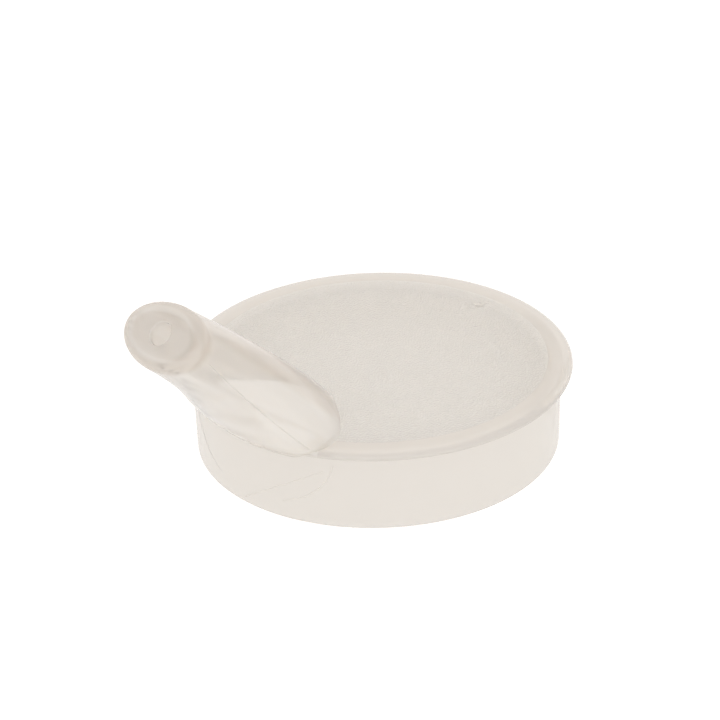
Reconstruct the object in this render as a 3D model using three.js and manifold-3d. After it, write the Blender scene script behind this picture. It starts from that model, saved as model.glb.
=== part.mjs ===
// Spouted lid for a drinking cup: a round deck with an overhanging rim flange, a plug skirt that
// pushes into the cup's mouth, and a hollow oval spout that leans out over the rim.
// Millimetres, +Z up. The origin is on the lid's axis, in the plane of the skirt's lower edge.
// The spout leans out towards -X, and the XZ plane is the plane of symmetry.

import * as THREE from 'three';
import { mergeVertices } from 'three/addons/utils/BufferGeometryUtils.js';
import Module from 'manifold-3d';

// ---- driving dimensions ----
const WALL = 1.5; // moulded wall of the deck and the flange
const GAP = 0.3; // kept between neighbouring solids
const DECK_TOP = 18; // height of the deck above the skirt's lower edge
const DECK_R = 34.5; // grained deck
const RIM_R = 39.6; // widest radius of the flange
const RIM_LOW_R = 39.3; // flange radius at its lower edge
const RIM_ROUND = 1.2; // rounding of the flange's upper edge
const SEAT_R = 37.6; // the cup's lip meets the flange's underside outside this radius
const SEAT_STEP = 0.1; // the underside is relieved by this much inside it
const SKIRT_R = 37; // outer radius at the skirt's lower edge
const SKIRT_TOP_R = 37.3; // outer radius under the flange
const SKIRT_WALL = 1.4;
const SKIRT_LEAD = 0.5; // chamfer that leads the skirt into the cup
const VENT_R = 0.6; // air vent, opposite the spout
const VENT_AT = 31.4; // its distance from the axis
const VENT_BOSS_R = 1.2; // low collar round the vent
const VENT_BOSS_H = 0.25;

// The spout is described in its plane of symmetry: u runs outward, z up.
const SPOUT = {
  back: [16.3, DECK_TOP], // where the back of the spout leaves the deck
  front: [RIM_LOW_R, DECK_TOP - WALL], // where its front leaves the flange's lower edge
  backRise: 49, // degrees above level, at the deck
  frontRise: 46.5,
  backPull: 15.5, // lengths of the curves' handles
  frontPull: 10.8,
  baseHalfWidth: 16.85,
  baseEgg: 0.46, // how much wider the base is towards the rim
  face: [57.4, 46.15], // centre of the tip's end face
  faceTilt: 45, // degrees above level that the tip's axis rises
  tipHalfDepth: 6.75,
  tipHalfWidth: 10.3,
  tipRound: 2.4, // rounding between the side and the end face
  tipTaper: 3, // degrees that the two curves close in by at the tip
  tipFrontPull: 16.3,
  tipBackPull: 1,
  flareAtBase: 0.68, // share of the width lost per length, at the base and at the tip
  flareAtTip: 0.26,
  hollowBaseInset: { front: 5, back: 2, side: 4 }, // keeps the hollow's foot inside the skirt
  hollowRound: 0.8, // rounding at the closed end of the hollow
};
const SPOUT_WALL = 2; // sides of the spout
const END_WALL = 1; // thinner wall round the drinking hole
const HOLE_R = 2.4; // drinking hole
const TIP_LENGTH = 4; // length of the rounded mouthpiece, measured along its axis

// ---- facets ----
const ROUND = 72; // facets round the lid's axis
const RING = 40; // facets round the spout
const SECTIONS = 20; // sections from the spout's base to its tip
const ROUND_STEPS = 5; // sections over the tip's rounding
const RIM_STEPS = 4; // facets over the flange's rounded edge
const HOLE_FACETS = 32;
const VENT_FACETS = 16;
const BOSS_FACETS = 20;
const CUT_LENGTH = 9; // length of the bores' cutters, well through any wall
const CUT_BLOCK = 60; // edge of the block that parts the tip from the rest of the spout

const wasm = await Module();
wasm.setup();
const { Manifold, Mesh: SolidMesh } = wasm;
const rad = THREE.MathUtils.degToRad;

// ---- solids and booleans ----
function toSolid(geometry) {
  const bare = geometry.clone();
  bare.deleteAttribute('normal');
  bare.deleteAttribute('uv');
  const merged = mergeVertices(bare, 1e-4);
  return new Manifold(new SolidMesh({
    numProp: 3,
    vertProperties: new Float32Array(merged.attributes.position.array),
    triVerts: new Uint32Array(merged.index.array),
  }));
}

function toGeometry(solid) {
  const { vertProperties, triVerts } = solid.getMesh();
  const geometry = new THREE.BufferGeometry();
  geometry.setAttribute('position', new THREE.Float32BufferAttribute(vertProperties, 3));
  geometry.setIndex(Array.from(triVerts));
  geometry.computeVertexNormals();
  return geometry;
}

// A closed ring or disc turned from a profile of [radius, height] pairs about the Z axis.
function turned(profile) {
  const points = profile.map(([r, z]) => new THREE.Vector2(r, z));
  return new THREE.LatheGeometry(points, ROUND).rotateX(Math.PI / 2);
}

// ---- the spout's surface ----
const tipAxis = new THREE.Vector2(Math.cos(rad(SPOUT.faceTilt)), Math.sin(rad(SPOUT.faceTilt)));
const tipAcross = new THREE.Vector2(tipAxis.y, -tipAxis.x); // towards the spout's front
const faceCentre = new THREE.Vector2(...SPOUT.face);

function direction(degrees) {
  return new THREE.Vector2(Math.cos(rad(degrees)), Math.sin(rad(degrees)));
}

function along(point, dir, distance) {
  return point.clone().addScaledVector(dir, distance);
}

// The front and back outlines of the spout in its plane of symmetry, and its half widths at the
// base and the tip. inset is how far the surface lies inside the outer one.
function spoutOutline(inset) {
  const lastFull = along(faceCentre, tipAxis, -SPOUT.tipRound);
  const depth = SPOUT.tipHalfDepth - inset;
  const frontEnd = along(lastFull, tipAcross, depth);
  const backEnd = along(lastFull, tipAcross, -depth);
  const baseInset = inset > 0 ? SPOUT.hollowBaseInset : { front: inset, back: inset, side: inset };
  const frontStart = new THREE.Vector2(SPOUT.front[0] - baseInset.front, SPOUT.front[1]);
  const backStart = new THREE.Vector2(SPOUT.back[0] + baseInset.back, SPOUT.back[1]);
  const bezier = (start, rise, pull, end, slope, endPull) => new THREE.CubicBezierCurve(
    start,
    along(start, direction(rise), pull),
    along(end, direction(slope), -endPull),
    end,
  );
  return {
    front: bezier(frontStart, SPOUT.frontRise, SPOUT.frontPull, frontEnd,
      SPOUT.faceTilt - SPOUT.tipTaper, SPOUT.tipFrontPull),
    back: bezier(backStart, SPOUT.backRise, SPOUT.backPull, backEnd,
      SPOUT.faceTilt + SPOUT.tipTaper, SPOUT.tipBackPull),
    baseHalfWidth: SPOUT.baseHalfWidth - baseInset.side,
    tipHalfWidth: SPOUT.tipHalfWidth - inset,
  };
}

function halfWidth(outline, t) {
  const { baseHalfWidth: base, tipHalfWidth: tip } = outline;
  const loss = base - tip;
  return base * (2 * t ** 3 - 3 * t ** 2 + 1)
    - SPOUT.flareAtBase * loss * (t ** 3 - 2 * t ** 2 + t)
    + tip * (3 * t ** 2 - 2 * t ** 3)
    - SPOUT.flareAtTip * loss * (t ** 3 - t ** 2);
}

// One section: an oval between a front and a back point, wider towards the front by egg.
function section(front, back, half, egg) {
  const ring = [];
  for (let i = 0; i < RING; i++) {
    const angle = (2 * Math.PI * i) / RING;
    const mix = (1 + Math.cos(angle)) / 2;
    const inPlane = back.clone().lerp(front, mix);
    const side = half * Math.sin(angle) * (1 + egg * Math.cos(angle));
    ring.push(new THREE.Vector3(-inPlane.x, side, inPlane.y));
  }
  return ring;
}

// A closed solid of the spout's shape, from the height floor up to the end face. A positive
// inset gives the hollow inside it, and a negative one a shape that clears it all round.
function spoutSolid(inset, floor) {
  const outline = spoutOutline(inset);
  const rings = [];
  for (let k = 0; k <= SECTIONS; k++) {
    const t = k / SECTIONS;
    const egg = SPOUT.baseEgg * (1 - t) ** 2;
    rings.push(section(outline.front.getPoint(t), outline.back.getPoint(t), halfWidth(outline, t), egg));
  }
  const foot = rings[0].map((p) => new THREE.Vector3(p.x, p.y, floor));
  rings.unshift(foot);

  const round = inset > 0 ? SPOUT.hollowRound : SPOUT.tipRound - inset;
  const reach = SPOUT.tipRound - (inset > 0 ? END_WALL : inset);
  const lastFull = along(faceCentre, tipAxis, -SPOUT.tipRound);
  for (let k = 1; k <= ROUND_STEPS; k++) {
    const angle = (Math.PI / 2) * (k / ROUND_STEPS);
    const shrink = round * (1 - Math.cos(angle));
    const centre = along(lastFull, tipAxis, reach * Math.sin(angle));
    const depth = SPOUT.tipHalfDepth - inset - shrink;
    rings.push(section(along(centre, tipAcross, depth), along(centre, tipAcross, -depth),
      outline.tipHalfWidth - shrink, 0));
  }
  return toSolid(skin(rings));
}

// Triangles over a stack of rings, with a fan over each end.
function skin(rings) {
  const points = rings.flat();
  const triangles = [];
  for (let k = 0; k + 1 < rings.length; k++) {
    for (let i = 0; i < RING; i++) {
      const next = (i + 1) % RING;
      const [a, b] = [k * RING + i, k * RING + next];
      triangles.push(a, a + RING, b, b, a + RING, b + RING);
    }
  }
  const centreOf = (ring) => ring.reduce((sum, p) => sum.add(p), new THREE.Vector3()).divideScalar(RING);
  const top = (rings.length - 1) * RING;
  const footCentre = points.push(centreOf(rings[0])) - 1;
  const topCentre = points.push(centreOf(rings[rings.length - 1])) - 1;
  for (let i = 0; i < RING; i++) {
    const next = (i + 1) % RING;
    triangles.push(footCentre, i, next, topCentre, top + next, top + i);
  }
  const geometry = new THREE.BufferGeometry().setFromPoints(points);
  geometry.setIndex(triangles);
  return geometry;
}

// A block that covers everything past a plane across the tip's axis, at a distance behind
// the end face.
function beyondTip(distance) {
  const at = along(faceCentre, tipAxis, CUT_BLOCK / 2 - distance);
  const block = new THREE.BoxGeometry(CUT_BLOCK, CUT_BLOCK, CUT_BLOCK);
  block.rotateY(rad(SPOUT.faceTilt)).translate(-at.x, 0, at.y);
  return toSolid(block);
}

// ---- the pieces ----
const underDeck = DECK_TOP - WALL;
const spoutOuter = spoutSolid(0, underDeck);
const spoutHollow = spoutSolid(SPOUT_WALL, underDeck - WALL);
const spoutClearance = spoutSolid(-GAP, underDeck - WALL);

function deckPlate() {
  const disc = toSolid(turned([[0, underDeck], [DECK_R, underDeck], [DECK_R, DECK_TOP], [0, DECK_TOP]]));
  const bossHeight = WALL + VENT_BOSS_H;
  const boss = toSolid(new THREE.CylinderGeometry(VENT_BOSS_R, VENT_BOSS_R, bossHeight, BOSS_FACETS)
    .rotateX(Math.PI / 2).translate(VENT_AT, 0, underDeck + bossHeight / 2));
  const vent = toSolid(new THREE.CylinderGeometry(VENT_R, VENT_R, CUT_LENGTH, VENT_FACETS)
    .rotateX(Math.PI / 2).translate(VENT_AT, 0, DECK_TOP));
  return disc.add(boss).subtract(vent).subtract(spoutClearance);
}

function rimFlange() {
  const inner = DECK_R + GAP;
  const profile = [
    [inner, underDeck + SEAT_STEP],
    [SEAT_R, underDeck + SEAT_STEP],
    [SEAT_R, underDeck],
    [RIM_LOW_R, underDeck],
    [RIM_R, DECK_TOP - RIM_ROUND / 2],
  ];
  const shoulder = RIM_R - RIM_ROUND;
  for (let k = 1; k <= RIM_STEPS; k++) {
    const angle = (Math.PI / 2) * (k / RIM_STEPS);
    const below = (RIM_ROUND / 2) * (1 - Math.sin(angle));
    profile.push([shoulder + RIM_ROUND * Math.cos(angle), DECK_TOP - below]);
  }
  profile.push([inner, DECK_TOP], [inner, underDeck + SEAT_STEP]);
  return toSolid(turned(profile)).subtract(spoutClearance);
}

function plugSkirt() {
  const top = underDeck - GAP;
  return toSolid(turned([
    [SKIRT_R - SKIRT_WALL, 0],
    [SKIRT_R - SKIRT_LEAD, 0],
    [SKIRT_R, 2 * SKIRT_LEAD],
    [SKIRT_TOP_R, top],
    [SKIRT_TOP_R - SKIRT_WALL, top],
    [SKIRT_R - SKIRT_WALL, 0],
  ]));
}

const spoutWall = spoutOuter.subtract(spoutHollow);

function spoutShell() {
  return spoutWall.subtract(beyondTip(TIP_LENGTH + GAP));
}

function spoutTip() {
  const hole = toSolid(new THREE.CylinderGeometry(HOLE_R, HOLE_R, CUT_LENGTH, HOLE_FACETS)
    .rotateZ(Math.PI / 2).rotateY(rad(SPOUT.faceTilt))
    .translate(-faceCentre.x, 0, faceCentre.y));
  return spoutWall.intersect(beyondTip(TIP_LENGTH)).subtract(hole);
}

// ---- the assembly ----
const MATERIALS = {
  grained: new THREE.MeshStandardMaterial({ color: 0xe2dbd3, roughness: 0.62, metalness: 0 }),
  smooth: new THREE.MeshStandardMaterial({ color: 0xe5ded6, roughness: 0.38, metalness: 0 }),
};

function piece(name, solid, material) {
  const mesh = new THREE.Mesh(toGeometry(solid), material);
  mesh.name = name;
  return mesh;
}

const group = new THREE.Group();
group.add(
  piece('deck_plate', deckPlate(), MATERIALS.grained),
  piece('rim_flange', rimFlange(), MATERIALS.smooth),
  piece('plug_skirt', plugSkirt(), MATERIALS.smooth),
  piece('spout_shell', spoutShell(), MATERIALS.smooth),
  piece('spout_tip', spoutTip(), MATERIALS.smooth),
);

export default group;
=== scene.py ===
"""A spouted lid for a drinking cup, one thin moulding in milky natural polypropylene.

The lid is built as one continuous closed mesh: a turned body (deck, rim flange, plug skirt) joined
to a lofted hollow spout, with the drinking hole and the air vent cut through. Lengths in the shape
code are millimetres; meshes are scaled to metres when they are made. The spout leans out over -X.
"""

import math

import bmesh
import bpy
import numpy as np
from mathutils import Matrix, Vector


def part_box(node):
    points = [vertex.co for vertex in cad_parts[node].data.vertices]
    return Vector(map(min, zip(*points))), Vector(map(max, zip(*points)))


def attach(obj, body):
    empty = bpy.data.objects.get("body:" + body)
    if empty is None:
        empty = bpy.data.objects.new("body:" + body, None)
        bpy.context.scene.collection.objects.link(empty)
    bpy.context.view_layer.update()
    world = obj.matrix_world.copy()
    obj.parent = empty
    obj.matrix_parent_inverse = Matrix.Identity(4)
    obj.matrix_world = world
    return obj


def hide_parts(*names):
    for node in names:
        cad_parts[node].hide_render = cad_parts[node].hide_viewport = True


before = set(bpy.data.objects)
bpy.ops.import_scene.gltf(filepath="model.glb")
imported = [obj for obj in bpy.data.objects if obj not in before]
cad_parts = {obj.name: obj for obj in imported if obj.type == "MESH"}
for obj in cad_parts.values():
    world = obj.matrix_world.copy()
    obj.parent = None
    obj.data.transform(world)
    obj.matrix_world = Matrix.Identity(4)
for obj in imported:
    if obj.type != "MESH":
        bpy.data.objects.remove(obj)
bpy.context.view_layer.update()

MM = 0.001
NODES = ("deck_plate", "rim_flange", "plug_skirt", "spout_shell", "spout_tip")


# ---- sizes ----
def mm(value):
    """A length read from the frame, in millimetres."""
    return value / MM


DECK_TOP = round(mm(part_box("rim_flange")[1].z), 3)
WALL = 1.5
UNDER_DECK = DECK_TOP - WALL
DECK_R = 34.5
GRAIN_RECESS = 0.1
RIM_R = round(mm(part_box("rim_flange")[1].x), 3)
SKIRT_R = 37.0  # at the foot
SKIRT_TOP_R = 37.3
SKIRT_WALL = 1.4
SKIRT_RING = {"height": 6, "out": 0.1}  # a ring part way up the skirt's slope
LIP_TOP = {"inside": 0.4, "outside": 1.2}  # where the skirt's rounded lip gives way to its wall

# Radii of the turned body's edges: one number, or across and up
ROUND = {
    "under_deck": 0.6,
    "lip_inside": 0.3,
    "lip_outside": (0.4, 0.45),
    "skirt_root": 0.25,
    "flange_under": 0.45,
    "flange_top": (2.2, 1.05),
}
DECK_STEP = ((0.35, 0), (0.12, 0.03))  # the step down to the grain: out from the deck, and down
FLAT_RINGS = (12, 24)  # rings that split the deck's long facets
FLANGE_RING = 36.5  # a ring on the flange's level top

VENT_AT = 31.4  # out along +X
VENT_R = 0.4
BOSS_R = 1.2
BOSS_RISE = 0.15
BOSS_START = 0.5  # its foot's height over the deck's underside, inside the deck
HOLE_R = 2.4
HOLE_ROUND = 0.3
HOLE_CUT = {"in": 4, "out": 2}  # how far the hole's cutter runs either side of the end face
VENT_OVERRUN = 2  # how far the vent's cutter runs past the deck

SPOUT_WALL = 2.0
END_WALL = 1.0
HOLLOW_ROUND = 0.8
HOLLOW_FOOT = (5.0, 2.0, 4.0)  # the hollow's inset at its foot: in front, behind and at the side
THROAT = {"front": 34.2, "back": 18.5, "height": 14.2, "half_width": 12.4}  # its mouth in the plug

# The spout's outside in its plane of symmetry: points are (outward, up), rises, tilts and tapers
# are degrees, and a pull is the length of a curve's handle
SPOUT = {
    "back": (16.3, DECK_TOP),
    "front": (39.3, UNDER_DECK),
    "back_rise": 49.0,
    "front_rise": 46.5,
    "back_pull": 15.5,
    "front_pull": 10.8,
    "base_half_width": 16.85,
    "base_egg": 0.46,
    "face": (57.4, 46.15),
    "face_tilt": 45.0,
    "tip_half_depth": 6.75,
    "tip_half_width": 10.3,
    "tip_round": 2.4,
    "tip_taper": 3.0,
    "tip_front_pull": 16.3,
    "tip_back_pull": 1.0,
    "flare_at_base": 0.68,
    "flare_at_tip": 0.26,
}

# The thick root that closes the undercut below the spout
GUSSET = {
    "full": 17.0,  # degrees round the lid from -X, where it starts to fade
    "end": 26.6,  # and where it is gone
    "top_r": 39.22,
    "drop": 2.1,
    "least": 0.02,  # its size where it is gone
    "toe": 0.05,  # how far inside the skirt's surface its foot lies
    "edge": 0.01,  # how far below the flange its outer edge lies
    "into_skirt": 0.7,
    "into_flange": 0.4,
}

# The witness lines of the mould. Angles round the spout's sections are in degrees from its front,
# angles on the skirt in degrees from -X.
GROOVE = {"width": 0.26, "depth": 0.12}
PARTING = {"start": 0.06, "end": 0.93, "at_base": 53.0, "turn": 31.0}
PARTING_NUDGE = (0.01, 1)  # small steps along and round the spout, which give its slope
SLIDE = {"reach": 30.4, "height": 15.5, "drop": 13, "start": 7, "end": 64}
SEAM = {"from": -1.6, "run": 29.3, "height": 1.4, "rise": 11.1, "bow": 1.4, "end": 0.98}

TURNED_FACETS = 256
RING_FACETS = 128
SECTIONS = 84
SECTION_CROWDING = 1.5  # sections lie closer together towards the base
ROUND_STEPS = 12
GUSSET_STEPS = 60
PARTING_POINTS = 60
SKIRT_LINE_POINTS = 40
VENT_FACETS = 48
HOLE_FACETS = 96
SHARP_ANGLE = 32


# ---- camera, light and stage ----
WARM_WHITE = (1, 0.965, 0.93, 1)
TENT = {"zenith": 0.79, "horizon": 0.735}
KEY = {"place": (-0.9, -0.7, 1.3), "size": 1.2, "power": 1.0}
FLOOR_GREY = (0.2, 0.2, 0.2, 1)
FLOOR_GLOW = {"on_lid": 0.73, "seen": 1.0}
FLOOR_R = 6.0
FLOOR_FACETS = 96
FLOOR_DROP = 0.0001  # keeps it just clear of the skirt's foot
BOUNCES = 48  # light runs round many times inside the rim before it comes out


def make_camera():
    """The viewpoint: azimuth and elevation of the line of sight, and how the frame is centred."""
    azimuth, elevation, roll = (math.radians(a) for a in (-45.6, 28.164, -1.624))
    distance, shift_right, shift_up = 590.1, -3.77, 15.27
    back = Vector((
        math.sin(azimuth) * math.cos(elevation),
        -math.cos(azimuth) * math.cos(elevation),
        math.sin(elevation),
    ))
    level_right = Vector((math.cos(azimuth), math.sin(azimuth), 0))
    level_up = back.cross(level_right)
    right = level_right * math.cos(roll) + level_up * math.sin(roll)
    up = back.cross(right)
    data = bpy.data.cameras.new("camera")
    data.sensor_width = 36
    data.lens = 143.8
    data.clip_start = 0.01
    data.clip_end = 100
    camera = bpy.data.objects.new("camera", data)
    place = (back * distance + right * shift_right + up * shift_up) * MM
    axes = Matrix((right, up, back)).transposed()
    camera.matrix_world = Matrix.Translation(place) @ axes.to_4x4()
    bpy.context.scene.collection.objects.link(camera)
    bpy.context.scene.camera = camera


def make_world(zenith, horizon):
    """A white tent, with one strength from the horizon down and another straight overhead."""
    world = bpy.data.worlds.new("studio")
    world.use_nodes = True
    tree = world.node_tree
    background = tree.nodes["Background"]
    background.inputs["Color"].default_value = WARM_WHITE
    place = tree.nodes.new("ShaderNodeTexCoord")
    split = tree.nodes.new("ShaderNodeSeparateXYZ")
    level = tree.nodes.new("ShaderNodeMapRange")
    level.inputs["To Min"].default_value = horizon
    level.inputs["To Max"].default_value = zenith
    tree.links.new(place.outputs["Generated"], split.inputs["Vector"])
    tree.links.new(split.outputs["Z"], level.inputs["Value"])
    tree.links.new(level.outputs["Result"], background.inputs["Strength"])
    bpy.context.scene.world = world


def make_light(name, place, size, power):
    """A round soft light that faces the origin."""
    data = bpy.data.lights.new(name, "AREA")
    data.shape = "DISK"
    data.size = size
    data.energy = power
    light = bpy.data.objects.new(name, data)
    light.location = place
    light.rotation_mode = "QUATERNION"
    light.rotation_quaternion = (-Vector(place)).to_track_quat("-Z", "Y")
    bpy.context.scene.collection.objects.link(light)


def make_floor():
    """A wide pale disc under the lid. It looks white, but it glows less for any light that the
    camera does not see directly."""
    work = bmesh.new()
    bmesh.ops.create_circle(work, cap_ends=True, segments=FLOOR_FACETS, radius=FLOOR_R)
    mesh = bpy.data.meshes.new("floor")
    work.to_mesh(mesh)
    work.free()
    floor = bpy.data.objects.new("floor", mesh)
    floor.location.z = -FLOOR_DROP
    bpy.context.scene.collection.objects.link(floor)
    material = bpy.data.materials.new("pale_floor")
    material.use_nodes = True
    tree = material.node_tree
    shader = tree.nodes["Principled BSDF"]
    shader.inputs["Base Color"].default_value = FLOOR_GREY
    shader.inputs["Roughness"].default_value = 0.9
    shader.inputs["Emission Color"].default_value = WARM_WHITE
    ray = tree.nodes.new("ShaderNodeLightPath")
    glow = tree.nodes.new("ShaderNodeMapRange")
    glow.inputs["To Min"].default_value = FLOOR_GLOW["on_lid"]
    glow.inputs["To Max"].default_value = FLOOR_GLOW["seen"]
    tree.links.new(ray.outputs["Is Camera Ray"], glow.inputs["Value"])
    tree.links.new(glow.outputs["Result"], shader.inputs["Emission Strength"])
    mesh.materials.append(material)


def set_light_paths(scene):
    """Enough bounces for light that is reflected on and on inside the clear plastic."""
    scene.cycles.max_bounces = BOUNCES
    scene.cycles.diffuse_bounces = BOUNCES
    scene.cycles.glossy_bounces = BOUNCES
    scene.cycles.transmission_bounces = BOUNCES


# ---- mesh helpers ----
def mesh_object(name, points, faces):
    """A mesh object in metres, its faces turned outward, from points in millimetres."""
    mesh = bpy.data.meshes.new(name)
    mesh.from_pydata([tuple(c * MM for c in p) for p in points], [], faces)
    work = bmesh.new()
    work.from_mesh(mesh)
    bmesh.ops.recalc_face_normals(work, faces=work.faces)
    work.to_mesh(mesh)
    work.free()
    made = bpy.data.objects.new(name, mesh)
    bpy.context.scene.collection.objects.link(made)
    return made


def turned(name, profile, facets):
    """A closed solid from (radius, height) points, from the axis back to the axis."""
    points, faces, rings = [], [], []
    for radius, height in profile:
        if radius == 0:
            rings.append([len(points)] * facets)
            points.append((0, 0, height))
            continue
        rings.append(range(len(points), len(points) + facets))
        for i in range(facets):
            angle = 2 * math.pi * i / facets
            points.append((radius * math.cos(angle), radius * math.sin(angle), height))
    for low, high in zip(rings, rings[1:]):
        for i in range(facets):
            j = (i + 1) % facets
            face = [low[i], low[j], high[j], high[i]]
            faces.append(list(dict.fromkeys(face)))
    return mesh_object(name, points, faces)


def stacked(name, rings):
    """A closed solid over a stack of rings with equal numbers of points."""
    count = len(rings[0])
    points = [p for ring in rings for p in ring]
    faces = []
    for k in range(len(rings) - 1):
        for i in range(count):
            j = (i + 1) % count
            a, b = k * count + i, k * count + j
            faces.append([a, a + count, b + count, b])
    faces.append(list(range(count)))
    faces.append([(len(rings) - 1) * count + i for i in reversed(range(count))])
    return mesh_object(name, points, faces)


def boolean(base, cutter, operation):
    """base joined to or cut by cutter, which is used up."""
    step = base.modifiers.new(operation, "BOOLEAN")
    step.operation = operation
    step.solver = "MANIFOLD"
    step.object = cutter
    graph = bpy.context.evaluated_depsgraph_get()
    result = bpy.data.meshes.new_from_object(base.evaluated_get(graph))
    base.modifiers.clear()
    base.data = result
    bpy.data.objects.remove(cutter)


def arc(centre, radii, start, end, steps):
    """Points of an elliptical arc between two angles in degrees, both ends included."""
    angles = np.radians(np.linspace(start, end, steps + 1))
    return [(centre[0] + radii[0] * math.cos(a), centre[1] + radii[1] * math.sin(a)) for a in angles]


def smooth_step(x):
    """Eases from 0 to 1 as x goes from 0 to 1, and stays there on either side."""
    x = min(max(x, 0.0), 1.0)
    return x * x * (3 - 2 * x)


# ---- the spout's surface, in its plane of symmetry: u outward, z up ----
def direction(degrees):
    """The unit vector at an angle above the outward axis."""
    return np.array([math.cos(math.radians(degrees)), math.sin(math.radians(degrees))])


TIP_AXIS = direction(SPOUT["face_tilt"])
TIP_ACROSS = np.array([TIP_AXIS[1], -TIP_AXIS[0]])
FACE = np.array(SPOUT["face"])
LAST_FULL = FACE - TIP_AXIS * SPOUT["tip_round"]  # centre of the last section before the tip rounds off


def bezier(start, rise, pull, end, slope, end_pull, t):
    """A point on the curve that leaves start at the angle rise and reaches end at the angle slope."""
    p0, p3 = np.array(start), np.array(end)
    p1 = p0 + pull * direction(rise)
    p2 = p3 - end_pull * direction(slope)
    return (1 - t) ** 3 * p0 + 3 * (1 - t) ** 2 * t * p1 + 3 * (1 - t) * t ** 2 * p2 + t ** 3 * p3


def half_width(base, tip, t):
    """Half the spout's width at t, a cubic with a set slope at each end."""
    loss = base - tip
    return (
        base * (2 * t ** 3 - 3 * t ** 2 + 1)
        - SPOUT["flare_at_base"] * loss * (t ** 3 - 2 * t ** 2 + t)
        + tip * (3 * t ** 2 - 2 * t ** 3)
        - SPOUT["flare_at_tip"] * loss * (t ** 3 - t ** 2)
    )


def section_point(front, back, half, egg, angle):
    """The point at an angle from the front of an oval that is wider towards the front by egg."""
    u, z = back + (front - back) * (1 + math.cos(angle)) / 2
    return -u, half * math.sin(angle) * (1 + egg * math.cos(angle)), z


def section(front, back, half, egg):
    """One oval between a front and a back point."""
    angles = (2 * math.pi * i / RING_FACETS for i in range(RING_FACETS))
    return [section_point(front, back, half, egg, angle) for angle in angles]


def spout_section(t, inset):
    """Front point, back point, half width and egg of the section at t, from base to tip."""
    depth = SPOUT["tip_half_depth"] - inset
    foot_front, foot_back, foot_side = HOLLOW_FOOT if inset else (0, 0, 0)
    front_start = np.array(SPOUT["front"]) - (foot_front, 0)
    back_start = np.array(SPOUT["back"]) + (foot_back, 0)
    front = bezier(front_start, SPOUT["front_rise"], SPOUT["front_pull"], LAST_FULL + TIP_ACROSS * depth,
                   SPOUT["face_tilt"] - SPOUT["tip_taper"], SPOUT["tip_front_pull"], t)
    back = bezier(back_start, SPOUT["back_rise"], SPOUT["back_pull"], LAST_FULL - TIP_ACROSS * depth,
                  SPOUT["face_tilt"] + SPOUT["tip_taper"], SPOUT["tip_back_pull"], t)
    half = half_width(SPOUT["base_half_width"] - foot_side, SPOUT["tip_half_width"] - inset, t)
    return front, back, half, SPOUT["base_egg"] * (1 - t) ** 2


def spout_rings(inset, corner, reach):
    """Sections from the base to the end, inset from the outer surface. The closed end is rounded
    by corner and lies reach past the last full section."""
    shares = [(k / SECTIONS) ** SECTION_CROWDING for k in range(SECTIONS + 1)]
    rings = [section(*spout_section(t, inset)) for t in shares]
    for k in range(1, ROUND_STEPS + 1):
        angle = math.pi / 2 * k / ROUND_STEPS
        shrink = corner * (1 - math.cos(angle))
        centre = LAST_FULL + TIP_AXIS * reach * math.sin(angle)
        across = TIP_ACROSS * (SPOUT["tip_half_depth"] - inset - shrink)
        rings.append(section(centre + across, centre - across, SPOUT["tip_half_width"] - inset - shrink, 0))
    return rings


def on_spout(t, degrees):
    """The point of the outer surface at t along the spout and an angle round its section."""
    return np.array(section_point(*spout_section(t, 0), math.radians(degrees)))


def spout_outer():
    """The spout's outside, carried down through the deck."""
    rings = spout_rings(0, SPOUT["tip_round"], SPOUT["tip_round"])
    foot = [(x, y, UNDER_DECK) for x, y, z in rings[0]]
    return stacked("spout_outer", [foot] + rings)


def spout_hollow():
    """The hollow inside the spout, drawn down through the deck into the plug."""
    rings = spout_rings(SPOUT_WALL, HOLLOW_ROUND, SPOUT["tip_round"] - END_WALL)
    front = np.array((THROAT["front"], THROAT["height"]))
    back = np.array((THROAT["back"], THROAT["height"]))
    throat = section(front, back, THROAT["half_width"], SPOUT["base_egg"])
    return stacked("spout_hollow", [throat] + rings)


def gusset():
    """Fills the undercut below the spout, fading out where the flange comes clear."""
    least = GUSSET["least"]
    buried_r = SKIRT_TOP_R - GUSSET["into_skirt"]
    buried_z = UNDER_DECK + GUSSET["into_flange"]
    toe_r = SKIRT_TOP_R - GUSSET["toe"]
    rings = []
    for k in range(GUSSET_STEPS + 1):
        degrees = GUSSET["end"] * (2 * k / GUSSET_STEPS - 1)
        grow = smooth_step((GUSSET["end"] - abs(degrees)) / (GUSSET["end"] - GUSSET["full"]))
        top_r = SKIRT_TOP_R + least + (GUSSET["top_r"] - SKIRT_TOP_R - least) * grow
        low = UNDER_DECK - least - GUSSET["drop"] * grow
        profile = [(buried_r, low), (toe_r, low), (top_r, UNDER_DECK - GUSSET["edge"]),
                   (top_r, buried_z), (buried_r, buried_z)]
        angle = math.pi + math.radians(degrees)
        rings.append([(r * math.cos(angle), r * math.sin(angle), z) for r, z in profile])
    return stacked("gusset", rings)


# ---- the mould's witness lines ----
def groove(name, path, normals):
    """The cutter for a fine V groove that follows a surface. It has its width at the surface and
    stands as far above it as it cuts in, where it is twice as wide."""
    width, depth = GROOVE["width"], GROOVE["depth"]
    rings = []
    for k, (point, normal) in enumerate(zip(path, normals)):
        run = path[min(k + 1, len(path) - 1)] - path[max(k - 1, 0)]
        across = np.cross(run, normal)
        across /= np.linalg.norm(across)
        corners = [(0, -depth), (width, depth), (-width, depth)]
        rings.append([tuple(point + across * a + normal * h) for a, h in corners])
    return stacked(name, rings)


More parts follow.
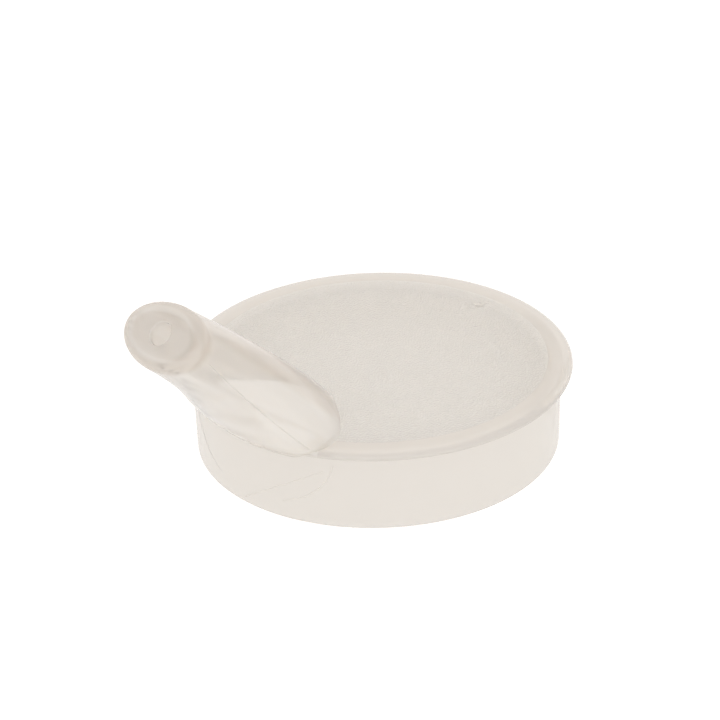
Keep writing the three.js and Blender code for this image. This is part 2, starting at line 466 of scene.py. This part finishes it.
def flank_line(side):
    """The mould's parting line up the spout's flank."""
    on, turn = PARTING_NUDGE
    path, normals = [], []
    for t in np.linspace(PARTING["start"], PARTING["end"], PARTING_POINTS):
        degrees = PARTING["at_base"] + PARTING["turn"] * t * t
        point = on_spout(t, degrees)
        along = on_spout(t + on, degrees) - point
        round_it = on_spout(t, degrees + turn) - point
        normal = np.cross(round_it, along)
        normal /= np.linalg.norm(normal)
        path.append(point * (1, side, 1))
        normals.append(normal * (1, side, 1) * np.sign(normal[1]))
    return groove("flank_line", path, normals)


def skirt_line(name, degrees, heights):
    """A fine line on the skirt; degrees are counted from -X towards -Y."""
    path, normals = [], []
    for angle, z in zip(np.radians(degrees), heights):
        out = np.array((-math.cos(angle), -math.sin(angle), 0))
        path.append(out * (SKIRT_R + (SKIRT_TOP_R - SKIRT_R) * z / UNDER_DECK) + np.array((0, 0, z)))
        normals.append(out)
    return groove(name, path, normals)


def slide_line(side):
    """Where the mould's side slide closed on the skirt: a quarter oval below the spout."""
    turn = np.radians(np.linspace(SLIDE["start"], SLIDE["end"], SKIRT_LINE_POINTS))
    degrees = side * SLIDE["reach"] * np.cos(turn)
    return skirt_line("slide_line", degrees, SLIDE["height"] - SLIDE["drop"] * np.sin(turn))


def seam_line():
    """A second slide seam that slants across the same part of the skirt, on one side only."""
    share = np.linspace(0.0, SEAM["end"], SKIRT_LINE_POINTS)
    heights = SEAM["height"] + SEAM["rise"] * share + SEAM["bow"] * share * (1 - share)
    return skirt_line("seam_line", SEAM["from"] + SEAM["run"] * share, heights)


# ---- the lid ----
def body_profile():
    """Half section of deck, flange and skirt, from the underside's centre round to the top's."""
    inner_r = SKIRT_TOP_R - SKIRT_WALL
    low_inner_r = SKIRT_R - SKIRT_WALL
    fillet = ROUND["under_deck"]
    profile = [(0, UNDER_DECK)] + [(r, UNDER_DECK) for r in FLAT_RINGS]
    profile += arc((inner_r - fillet, UNDER_DECK - fillet), (fillet, fillet), 90, 0, steps=5)

    lip = ROUND["lip_inside"]
    lip_across, lip_up = ROUND["lip_outside"]
    profile += [(low_inner_r + SKIRT_RING["out"], SKIRT_RING["height"]), (low_inner_r, LIP_TOP["inside"])]
    profile += arc((low_inner_r + lip, lip), (lip, lip), 190, 270, steps=4)
    profile += arc((SKIRT_R - lip_up, lip_up), (lip_across, lip_up), 270, 360, steps=5)
    profile += [(SKIRT_R, LIP_TOP["outside"]), (SKIRT_R + SKIRT_RING["out"], SKIRT_RING["height"])]

    root, under = ROUND["skirt_root"], ROUND["flange_under"]
    top_across, top_up = ROUND["flange_top"]
    profile += arc((SKIRT_TOP_R + root, UNDER_DECK - root), (root, root), 180, 90, steps=4)
    profile += arc((RIM_R - under, UNDER_DECK + under), (under, under), 270, 350, steps=7)
    profile += arc((RIM_R - top_across, DECK_TOP - top_up), (top_across, top_up), 0, 90, steps=14)

    grain = DECK_TOP - GRAIN_RECESS
    profile += [(FLANGE_RING, DECK_TOP)] + [(DECK_R + out, DECK_TOP - down) for out, down in DECK_STEP]
    profile += [(DECK_R, grain)] + [(r, grain) for r in reversed(FLAT_RINGS)] + [(0, grain)]
    return profile


def upright(name, radius, low, high):
    """A cylinder where the vent is."""
    made = turned(name, [(0, low), (radius, low), (radius, high), (0, high)], VENT_FACETS)
    made.data.transform(Matrix.Translation((VENT_AT * MM, 0, 0)))
    return made


def drinking_hole():
    """The cutter for the hole: a straight bore with a softened mouth."""
    profile = [(0, -HOLE_CUT["in"]), (HOLE_R, -HOLE_CUT["in"])]
    profile += arc((HOLE_R + HOLE_ROUND, -HOLE_ROUND), (HOLE_ROUND, HOLE_ROUND), 180, 90, steps=5)
    profile += [(HOLE_R + HOLE_ROUND, HOLE_CUT["out"]), (0, HOLE_CUT["out"])]
    made = turned("drinking_hole", profile, HOLE_FACETS)
    tilt = Matrix.Rotation(math.radians(SPOUT["face_tilt"] - 90), 4, "Y")
    place = Matrix.Translation(Vector((-FACE[0], 0, FACE[1])) * MM)
    made.data.transform(place @ tilt)
    return made


def make_lid():
    """The whole moulding as one closed mesh, smooth except at its true edges."""
    lid = turned("lid_moulding", body_profile(), TURNED_FACETS)
    boolean(lid, gusset(), "UNION")
    boolean(lid, spout_outer(), "UNION")
    for side in (-1, 1):
        boolean(lid, flank_line(side), "DIFFERENCE")
        boolean(lid, slide_line(side), "DIFFERENCE")
    boolean(lid, seam_line(), "DIFFERENCE")
    boolean(lid, spout_hollow(), "DIFFERENCE")
    boolean(lid, drinking_hole(), "DIFFERENCE")
    boolean(lid, upright("vent_boss", BOSS_R, UNDER_DECK + BOSS_START, DECK_TOP + BOSS_RISE), "UNION")
    boolean(lid, upright("vent", VENT_R, UNDER_DECK - VENT_OVERRUN, DECK_TOP + VENT_OVERRUN), "DIFFERENCE")
    mesh = lid.data
    mesh.polygons.foreach_set("use_smooth", [True] * len(mesh.polygons))
    mesh.set_sharp_from_angle(angle=math.radians(SHARP_ANGLE))
    return lid


# ---- materials ----
PLASTIC = (0.955, 0.915, 0.865, 1)
RIM_PAINTED_SHADE = (0.88, 0.825, 0.77, 1)  # painted shade: the flange drawn darker than the plastic, out past the root of the skirt
RIM_ROOT_PAINTED_SHADE = (0.865, 0.81, 0.755, 1)  # deeper painted shade: the flange, over the root of the skirt
SPOUT_PAINTED_LIGHT = (0.985, 0.94, 0.888, 1)  # painted light: the spout drawn paler than the plastic, where it is thin
TIP_EDGE_PAINTED_SHADE = (0.81, 0.745, 0.685, 1)  # the deepest painted shade, round the edge of the tip
BACK_PAINTED_SHADE_SHARE = 0.64  # how far the spout's back goes towards that painted shade
ROOT_EDGE = (36.6, 37.6)  # radii over which the root's painted shade fades out
BACK_EDGE = (0.42, 0.68)  # share of the tip's half depth over which the back's painted shade comes in
TIP_START = (-1.6, -0.8)  # where the edge's painted shade comes in, in tip roundings from the end face
TIP_RING = (0.66, 0.86)  # and how far out from the tip's axis, as a share of its half size
CLEAR_SHARE = 0.5  # light that passes a surface unscattered; all of it does on the way out
REFRACTION = 1.49
SCATTER = {"by_colour": (1.0, 0.95, 0.9), "reach": 0.006}
BUMP_HEIGHT = 0.0004

# Surface finishes; a texture's scale is in cells per metre
GRAINED = {"texture": "ShaderNodeTexVoronoi", "scale": 2500, "bump": 0.4, "roughness": 0.15}
SMOOTH = {"texture": "ShaderNodeTexNoise", "scale": 120, "bump": 0.02, "roughness": 0.05}

# How dress() tells the regions of the lid apart
LEVEL_NORMAL = 0.99
HEIGHT_SLACK = 0.02
FLANGE_FROM = SKIRT_TOP_R + 0.3


def plastic(name, finish):
    """Milky natural polypropylene with the given surface finish."""
    material = bpy.data.materials.new(name)
    material.use_nodes = True
    tree = material.node_tree
    shader = tree.nodes["Principled BSDF"]
    shader.inputs["Base Color"].default_value = PLASTIC
    shader.inputs["Roughness"].default_value = finish["roughness"]
    shader.inputs["IOR"].default_value = REFRACTION
    shader.inputs["Subsurface Weight"].default_value = 1.0
    shader.inputs["Subsurface Radius"].default_value = SCATTER["by_colour"]
    shader.inputs["Subsurface Scale"].default_value = SCATTER["reach"]
    side = tree.nodes.new("ShaderNodeNewGeometry")
    clear = tree.nodes.new("ShaderNodeMapRange")
    clear.inputs["To Min"].default_value = CLEAR_SHARE
    clear.inputs["To Max"].default_value = 1.0
    tree.links.new(side.outputs["Backfacing"], clear.inputs["Value"])
    tree.links.new(clear.outputs["Result"], shader.inputs["Transmission Weight"])
    place = tree.nodes.new("ShaderNodeTexCoord")
    texture = tree.nodes.new(finish["texture"])
    texture.inputs["Scale"].default_value = finish["scale"]
    tree.links.new(place.outputs["Object"], texture.inputs["Vector"])
    bump = tree.nodes.new("ShaderNodeBump")
    bump.inputs["Strength"].default_value = finish["bump"]
    bump.inputs["Distance"].default_value = BUMP_HEIGHT
    tree.links.new(texture.outputs[0], bump.inputs["Height"])
    tree.links.new(bump.outputs["Normal"], shader.inputs["Normal"])
    return material


def ramp(tree, value, low, high, end=1.0):
    """A share that eases from 0 where value is low to end where it is high."""
    node = tree.nodes.new("ShaderNodeMapRange")
    node.interpolation_type = "SMOOTHSTEP"
    node.inputs["From Min"].default_value = low
    node.inputs["From Max"].default_value = high
    node.inputs["To Max"].default_value = end
    tree.links.new(value, node.inputs["Value"])
    return node.outputs["Result"]


def combine(tree, operation, first, second):
    """The result of one operation on two numbers."""
    node = tree.nodes.new("ShaderNodeMath")
    node.operation = operation
    tree.links.new(first, node.inputs[0])
    tree.links.new(second, node.inputs[1])
    return node.outputs["Value"]


def across_length(tree, vector):
    """The length of a vector's first two parts."""
    flat = tree.nodes.new("ShaderNodeVectorMath")
    flat.operation = "MULTIPLY"
    flat.inputs[1].default_value = (1, 1, 0)
    length = tree.nodes.new("ShaderNodeVectorMath")
    length.operation = "LENGTH"
    tree.links.new(vector, flat.inputs[0])
    tree.links.new(flat.outputs["Vector"], length.inputs[0])
    return length.outputs["Value"]


def tint(tree, share, first, second):
    """Sets the base colour, from first where share is 0 to second where it is 1."""
    colour = tree.nodes.new("ShaderNodeMix")
    colour.data_type = "RGBA"
    colour.inputs["A"].default_value = first
    colour.inputs["B"].default_value = second
    tree.links.new(share, colour.inputs["Factor"])
    tree.links.new(colour.outputs["Result"], tree.nodes["Principled BSDF"].inputs["Base Color"])


def rim_painted_shade_plastic():
    """The smooth finish on the flange, with painted shade: drawn darker than the plastic, and darkest in
    the ring where the skirt joins it from below.
    """
    material = plastic("rim_painted_shade_plastic", SMOOTH)
    tree = material.node_tree
    place = tree.nodes.new("ShaderNodeTexCoord")
    radius = across_length(tree, place.outputs["Object"])
    # painted shade: darker over the skirt's root, fading to the flange's own painted shade further out
    tint(tree, ramp(tree, radius, *(r * MM for r in ROOT_EDGE)), RIM_ROOT_PAINTED_SHADE, RIM_PAINTED_SHADE)
    return material


def spout_painted_light_and_shade():
    """The smooth finish on the spout, with painted light and shade: drawn paler than the plastic, with
    painted shade along its back and the deepest painted shade round the edge of its tip.
    """
    material = plastic("spout_painted_light_and_shade", SMOOTH)
    tree = material.node_tree
    place = tree.nodes.new("ShaderNodeTexCoord")
    # X towards the spout's back, Y to its side and Z out along it from the end face, with the
    # tip's half depth, half width and rounding as the units
    tip = tree.nodes.new("ShaderNodeMapping")
    tip.vector_type = "TEXTURE"
    tip.inputs["Location"].default_value = (-FACE[0] * MM, 0, FACE[1] * MM)
    tip.inputs["Rotation"].default_value = (0, -math.radians(SPOUT["face_tilt"]), 0)
    tip.inputs["Scale"].default_value = [
        SPOUT[name] * MM for name in ("tip_half_depth", "tip_half_width", "tip_round")]
    tree.links.new(place.outputs["Object"], tip.inputs["Vector"])
    split = tree.nodes.new("ShaderNodeSeparateXYZ")
    tree.links.new(tip.outputs["Vector"], split.inputs["Vector"])
    # painted shade along the spout's back and round the edge of its tip, over the painted paler spout
    back_painted_shade = ramp(tree, split.outputs["X"], *BACK_EDGE, end=BACK_PAINTED_SHADE_SHARE)
    at_tip = ramp(tree, split.outputs["Z"], *TIP_START)
    outer = ramp(tree, across_length(tree, tip.outputs["Vector"]), *TIP_RING)
    tip_edge_painted_shade = combine(tree, "MULTIPLY", at_tip, outer)
    tint(tree, combine(tree, "MAXIMUM", back_painted_shade, tip_edge_painted_shade), SPOUT_PAINTED_LIGHT, TIP_EDGE_PAINTED_SHADE)
    return material


def dress(lid):
    """The finishes of the one moulding: grain on the deck, smooth elsewhere, with painted shade on the
    flange and painted light and shade on the spout.
    """
    lid.data.materials.clear()
    lid.data.materials.append(plastic("smooth_plastic", SMOOTH))
    lid.data.materials.append(plastic("grained_plastic", GRAINED))
    lid.data.materials.append(rim_painted_shade_plastic())
    lid.data.materials.append(spout_painted_light_and_shade())
    grained, rim, spout = 1, 2, 3
    for face in lid.data.polygons:
        x, y, z = (mm(c) for c in face.center)
        level = face.normal.z > LEVEL_NORMAL
        clear_of_spout = abs(math.atan2(y, -x)) > math.radians(GUSSET["end"])
        if level and abs(z - (DECK_TOP - GRAIN_RECESS)) < HEIGHT_SLACK:
            face.material_index = grained
        elif level and abs(z - DECK_TOP) < HEIGHT_SLACK:
            face.material_index = rim
        elif math.hypot(x, y) > FLANGE_FROM and UNDER_DECK < z < DECK_TOP and clear_of_spout:
            face.material_index = rim
        elif z > DECK_TOP + HEIGHT_SLACK and x < 0:
            face.material_index = spout


bpy.context.scene.view_settings.view_transform = "Standard"
set_light_paths(bpy.context.scene)
make_camera()
make_world(**TENT)
make_light("key", **KEY)
make_floor()
lid = make_lid()
dress(lid)
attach(lid, "root")
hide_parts(*NODES)
